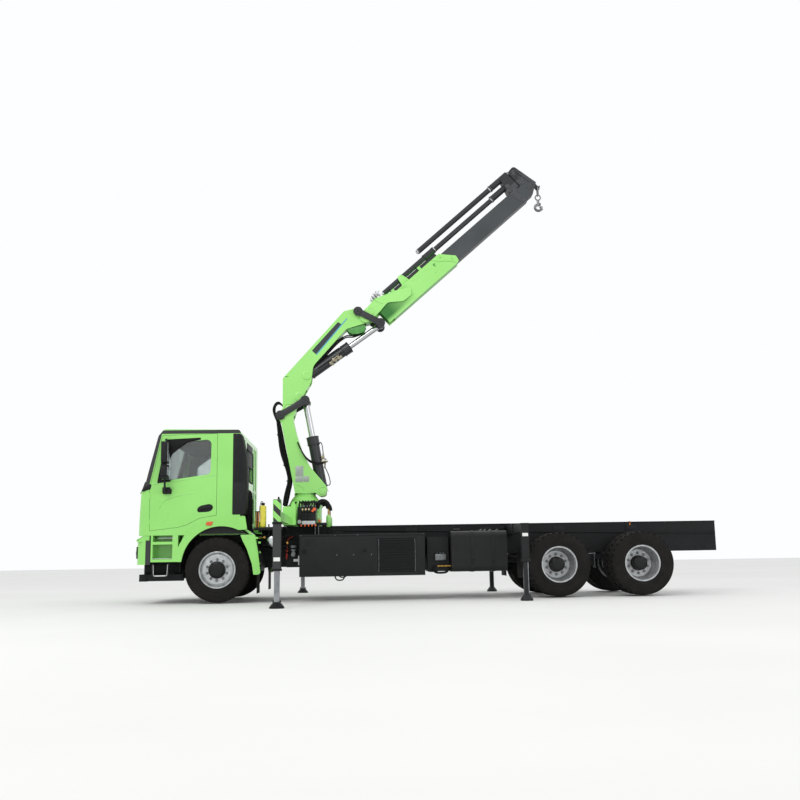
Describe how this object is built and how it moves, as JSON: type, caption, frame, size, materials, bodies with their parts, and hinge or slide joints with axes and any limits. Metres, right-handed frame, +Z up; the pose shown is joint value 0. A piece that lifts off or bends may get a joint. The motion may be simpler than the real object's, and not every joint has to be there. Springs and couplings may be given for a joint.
{
  "type": "truck-mounted crane",
  "caption": "Flat-frame cab-over truck with a knuckle-boom loader crane behind the cab and hydraulic outriggers set down.",
  "frame": {"origin": "on the ground under the middle of the truck's length and width, at the bottom centre of the whole machine", "axes": "+X to the rear of the truck, -X its front, +Y its right side, +Z up"},
  "size_m": [9.943, 6.196, 8.0222],
  "materials": {
    "cab_green": "gloss",
    "chassis_black": "satin",
    "wheel_silver": "satin",
    "tyre": "matte",
    "window_glass": "clear",
    "chrome_rod": "polished",
    "leg_steel": "satin",
    "seat_fabric": "matte",
    "black_plastic": "matte",
    "boom_grey": "satin",
    "hook_steel": "satin"
  },
  "bodies": {
    "truck": {"cab_shell": "cab_green", "cab_roof": "cab_green", "cab_nose": "cab_green", "cab_floor": "black_plastic", "cab_glass": "window_glass", "seats": "seat_fabric", "dashboard": "black_plastic", "bumper": "cab_green", "wheel_arches": "cab_green", "frame_rails": "chassis_black", "subframe": "chassis_black", "leaf_springs": "chassis_black", "front_axle": "chassis_black", "rear_axles": "chassis_black", "engine_block": "chassis_black", "side_cabinets": "chassis_black", "fuel_tanks": "chassis_black", "crane_base": "cab_green", "control_stand": "chassis_black"},
    "door_left": {"door_left": "cab_green", "door_glass_left": "window_glass", "mirror_left": "black_plastic"},
    "knuckle_left": {"knuckle_left": "chassis_black"},
    "front_wheel_left": {"front_rim_left": "wheel_silver", "front_tyre_left": "tyre"},
    "rear_wheels_1_left": {"rear_rims_1_left": "wheel_silver", "rear_tyres_1_left": "tyre"},
    "rear_wheels_2_left": {"rear_rims_2_left": "wheel_silver", "rear_tyres_2_left": "tyre"},
    "front_beam_left": {"front_beam_left": "cab_green"},
    "front_leg_left": {"front_leg_left": "leg_steel"},
    "rear_beam_left": {"rear_beam_left": "chassis_black"},
    "rear_leg_left": {"rear_leg_left": "leg_steel"},
    "door_right": {"door_right": "cab_green", "door_glass_right": "window_glass", "mirror_right": "black_plastic"},
    "knuckle_right": {"knuckle_right": "chassis_black"},
    "front_wheel_right": {"front_rim_right": "wheel_silver", "front_tyre_right": "tyre"},
    "rear_wheels_1_right": {"rear_rims_1_right": "wheel_silver", "rear_tyres_1_right": "tyre"},
    "rear_wheels_2_right": {"rear_rims_2_right": "wheel_silver", "rear_tyres_2_right": "tyre"},
    "front_beam_right": {"front_beam_right": "cab_green"},
    "front_leg_right": {"front_leg_right": "leg_steel"},
    "rear_beam_right": {"rear_beam_right": "chassis_black"},
    "rear_leg_right": {"rear_leg_right": "leg_steel"},
    "column": {"column": "cab_green"},
    "inner_boom": {"inner_boom": "cab_green"},
    "outer_boom": {"outer_boom": "cab_green"},
    "extension_1": {"extension_1": "boom_grey"},
    "extension_2": {"extension_2": "boom_grey"},
    "hook": {"hook": "hook_steel"},
    "lift_links": {"lift_links": "boom_grey"},
    "lift_barrel": {"lift_barrel": "boom_grey"},
    "lift_rod": {"lift_rod": "chrome_rod"},
    "fold_links": {"fold_links": "boom_grey"},
    "fold_barrel": {"fold_barrel": "boom_grey"},
    "fold_rod": {"fold_rod": "chrome_rod"}
  },
  "joints": [
    {"name": "crane_slew", "type": "hinge", "parent": "truck", "child": "column", "pos_m": [-2.2765, 0, 1.845], "axis": [0, 0, 1], "range_deg": [-200, 200]},
    {"name": "inner_boom_lift", "type": "hinge", "parent": "column", "child": "inner_boom", "pos_m": [-2.5475, 0, 3.343], "axis": [0, 1, 0], "range_deg": [-28, 48]},
    {"name": "lift_link_swing", "type": "hinge", "parent": "column", "child": "lift_links", "pos_m": [-2.7135, 0, 3.253], "axis": [0, 1, 0], "range_deg": [-17, 28.5]},
    {"name": "lift_barrel_swing", "type": "hinge", "parent": "column", "child": "lift_barrel", "pos_m": [-1.9585, 0, 1.872], "axis": [0, 1, 0], "range_deg": [-2, 2.5]},
    {"name": "lift_rod_slide", "type": "slide", "parent": "lift_barrel", "child": "lift_rod", "axis": [-0.1864, 0, 0.9825], "range_m": [-0.244, 0.143]},
    {"name": "outer_boom_fold", "type": "hinge", "parent": "inner_boom", "child": "outer_boom", "pos_m": [-1.1585, 0, 5.075], "axis": [0, -1, 0], "range_deg": [-100, 20]},
    {"name": "fold_link_swing", "type": "hinge", "parent": "inner_boom", "child": "fold_links", "pos_m": [-1.3015, 0, 5.171], "axis": [0, -1, 0], "range_deg": [-62.5, 13]},
    {"name": "fold_barrel_swing", "type": "hinge", "parent": "inner_boom", "child": "fold_barrel", "pos_m": [-2.2415, 0, 3.981], "axis": [0, -1, 0], "range_deg": [-2, 1]},
    {"name": "fold_rod_slide", "type": "slide", "parent": "fold_barrel", "child": "fold_rod", "axis": [0.812, 0, 0.5836], "range_m": [-0.486, 0.098]},
    {"name": "extension_1_slide", "type": "slide", "parent": "outer_boom", "child": "extension_1", "axis": [0.7478, 0, 0.6639], "range_m": [-1.08, 0]},
    {"name": "extension_2_slide", "type": "slide", "parent": "extension_1", "child": "extension_2", "axis": [0.7478, 0, 0.6639], "range_m": [0, 1.6]},
    {"name": "hook_swing", "type": "hinge", "parent": "extension_2", "child": "hook", "pos_m": [2.1541, 0, 7.62023], "axis": [0, 1, 0], "range_deg": [-110, 15]},
    {"name": "door_left_open", "type": "hinge", "parent": "truck", "child": "door_left", "pos_m": [-4.7785, -1.25, 1.914], "axis": [0, 0, -1], "range_deg": [0, 75]},
    {"name": "steer_left", "type": "hinge", "parent": "truck", "child": "knuckle_left", "pos_m": [-3.6385, -0.925, 0.5425], "axis": [0, 0, 1], "range_deg": [-38, 38]},
    {"name": "front_wheel_left_spin", "type": "hinge", "parent": "knuckle_left", "child": "front_wheel_left", "pos_m": [-3.6385, -1.1, 0.5425], "axis": [0, 1, 0], "continuous": true},
    {"name": "rear_wheels_1_left_spin", "type": "hinge", "parent": "truck", "child": "rear_wheels_1_left", "pos_m": [2.0115, -1.1, 0.5425], "axis": [0, 1, 0], "continuous": true},
    {"name": "rear_wheels_2_left_spin", "type": "hinge", "parent": "truck", "child": "rear_wheels_2_left", "pos_m": [3.4115, -1.1, 0.5425], "axis": [0, 1, 0], "continuous": true},
    {"name": "front_beam_left_slide", "type": "slide", "parent": "truck", "child": "front_beam_left", "axis": [0, -1, 0], "range_m": [-1.66, 0]},
    {"name": "front_leg_left_slide", "type": "slide", "parent": "front_beam_left", "child": "front_leg_left", "axis": [0, 0, 1], "range_m": [0, 0.42]},
    {"name": "rear_beam_left_slide", "type": "slide", "parent": "truck", "child": "rear_beam_left", "axis": [0, -1, 0], "range_m": [-0.68, 0]},
    {"name": "rear_leg_left_slide", "type": "slide", "parent": "rear_beam_left", "child": "rear_leg_left", "axis": [0, 0, 1], "range_m": [0, 0.35]},
    {"name": "door_right_open", "type": "hinge", "parent": "truck", "child": "door_right", "pos_m": [-4.7785, 1.25, 1.914], "axis": [0, 0, 1], "range_deg": [0, 75]},
    {"name": "steer_right", "type": "hinge", "parent": "truck", "child": "knuckle_right", "pos_m": [-3.6385, 0.925, 0.5425], "axis": [0, 0, 1], "range_deg": [-38, 38]},
    {"name": "front_wheel_right_spin", "type": "hinge", "parent": "knuckle_right", "child": "front_wheel_right", "pos_m": [-3.6385, 1.1, 0.5425], "axis": [0, 1, 0], "continuous": true},
    {"name": "rear_wheels_1_right_spin", "type": "hinge", "parent": "truck", "child": "rear_wheels_1_right", "pos_m": [2.0115, 1.1, 0.5425], "axis": [0, 1, 0], "continuous": true},
    {"name": "rear_wheels_2_right_spin", "type": "hinge", "parent": "truck", "child": "rear_wheels_2_right", "pos_m": [3.4115, 1.1, 0.5425], "axis": [0, 1, 0], "continuous": true},
    {"name": "front_beam_right_slide", "type": "slide", "parent": "truck", "child": "front_beam_right", "axis": [0, 1, 0], "range_m": [-1.66, 0]},
    {"name": "front_leg_right_slide", "type": "slide", "parent": "front_beam_right", "child": "front_leg_right", "axis": [0, 0, 1], "range_m": [0, 0.42]},
    {"name": "rear_beam_right_slide", "type": "slide", "parent": "truck", "child": "rear_beam_right", "axis": [0, 1, 0], "range_m": [-0.68, 0]},
    {"name": "rear_leg_right_slide", "type": "slide", "parent": "rear_beam_right", "child": "rear_leg_right", "axis": [0, 0, 1], "range_m": [0, 0.35]}
  ],
  "couplings": [
    {"joint": "lift_link_swing", "follows": "inner_boom_lift", "ratio": 0.58},
    {"joint": "lift_barrel_swing", "follows": "inner_boom_lift", "ratio": 0.0415},
    {"joint": "lift_rod_slide", "follows": "inner_boom_lift", "m_per_rad": -0.2889},
    {"joint": "fold_link_swing", "follows": "outer_boom_fold", "ratio": 0.62},
    {"joint": "fold_barrel_swing", "follows": "outer_boom_fold", "ratio": 0.0101},
    {"joint": "fold_rod_slide", "follows": "outer_boom_fold", "m_per_rad": 0.2778},
    {"joint": "steer_right", "follows": "steer_left", "ratio": 1}
  ]
}
